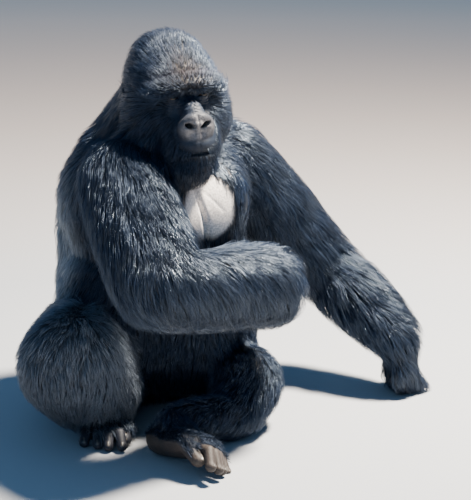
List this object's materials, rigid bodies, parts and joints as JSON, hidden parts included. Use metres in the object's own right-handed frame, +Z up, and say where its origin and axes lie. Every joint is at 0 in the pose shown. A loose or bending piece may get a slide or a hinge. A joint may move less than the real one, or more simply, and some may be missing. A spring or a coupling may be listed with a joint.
{
  "type": "gorilla",
  "caption": "Seated adult male gorilla, a life-size still model that leans on one straight arm with the other forearm across its belly.",
  "frame": {"origin": "the middle of the seat, where it rests on the floor under the pelvis", "axes": "+X to the animal's left, +Y to its back, +Z up from the floor"},
  "size_m": [1.0887, 0.8568, 0.955],
  "materials": {
    "coat": "soft blue-black hair",
    "saddle": "short silver-grey hair",
    "bare_skin": "creased dark skin",
    "eye": "wet, dark brown"
  },
  "bodies": {
    "root": {"head": "coat", "neck": "coat", "chest": "coat", "abdomen": "saddle", "ear_left": "bare_skin", "ear_right": "bare_skin", "eye_left": "eye", "eye_right": "eye", "upper_arm_left": "coat", "upper_arm_right": "coat", "forearm_left": "coat", "forearm_right": "coat", "hand_left": "bare_skin", "hand_right": "bare_skin", "thigh_left": "coat", "thigh_right": "coat", "shin_left": "coat", "shin_right": "coat", "foot_left": "bare_skin", "foot_right": "bare_skin"}
  },
  "joints": []
}
